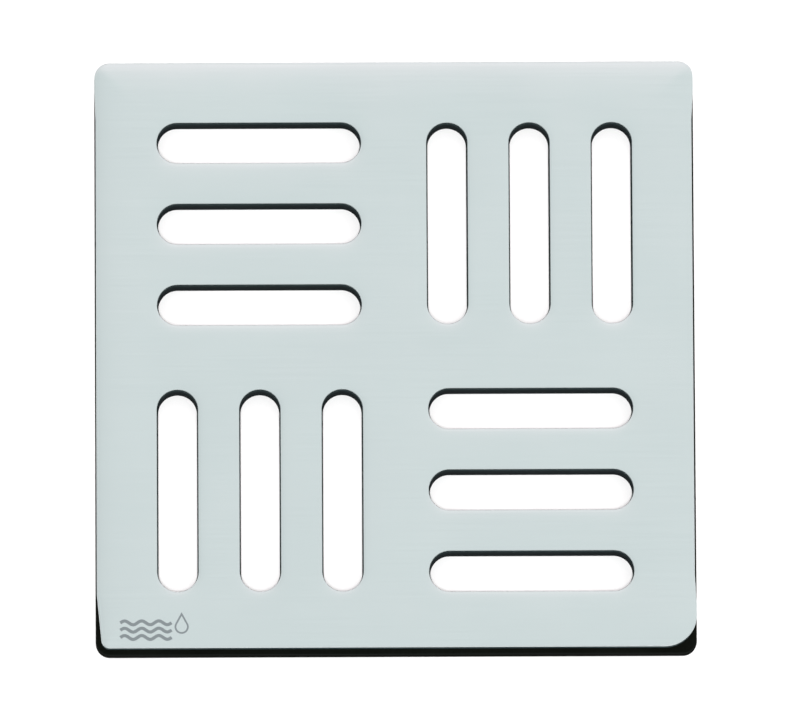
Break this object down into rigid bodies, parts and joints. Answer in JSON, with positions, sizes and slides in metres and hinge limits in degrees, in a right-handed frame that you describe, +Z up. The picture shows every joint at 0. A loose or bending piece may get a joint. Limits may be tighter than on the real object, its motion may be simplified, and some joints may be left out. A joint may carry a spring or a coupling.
{
  "type": "floor drain grate",
  "caption": "Square slotted floor drain grate: a polished steel plate with a basket weave of long slots, lifting off a black moulded carrier.",
  "frame": {"origin": "middle of the underside, on the plane the carrier rests on", "axes": "+X to the right and +Y to the back as seen from above, with the widest ledge of the carrier at the front, and +Z up out of the floor"},
  "size_m": [0.102, 0.102, 0.005],
  "materials": {
    "polished_steel": "polished stainless steel, pale blue grey",
    "stud_steel": "plain turned stainless steel",
    "black_plastic": "moulded black plastic, fine satin grain",
    "grommet_rubber": "soft matt rubber"
  },
  "bodies": {
    "carrier": {"carrier": "black_plastic", "stud_grommet_front_left": "grommet_rubber", "stud_grommet_front_right": "grommet_rubber", "stud_grommet_back_left": "grommet_rubber", "stud_grommet_back_right": "grommet_rubber"},
    "plate": {"top_plate": "polished_steel", "plate_stud_front_left": "stud_steel", "plate_stud_front_right": "stud_steel", "plate_stud_back_left": "stud_steel", "plate_stud_back_right": "stud_steel"}
  },
  "joints": [
    {"name": "plate_lift", "type": "slide", "parent": "carrier", "child": "plate", "axis": [0, 0, 1], "range_m": [0, 0.02]}
  ]
}
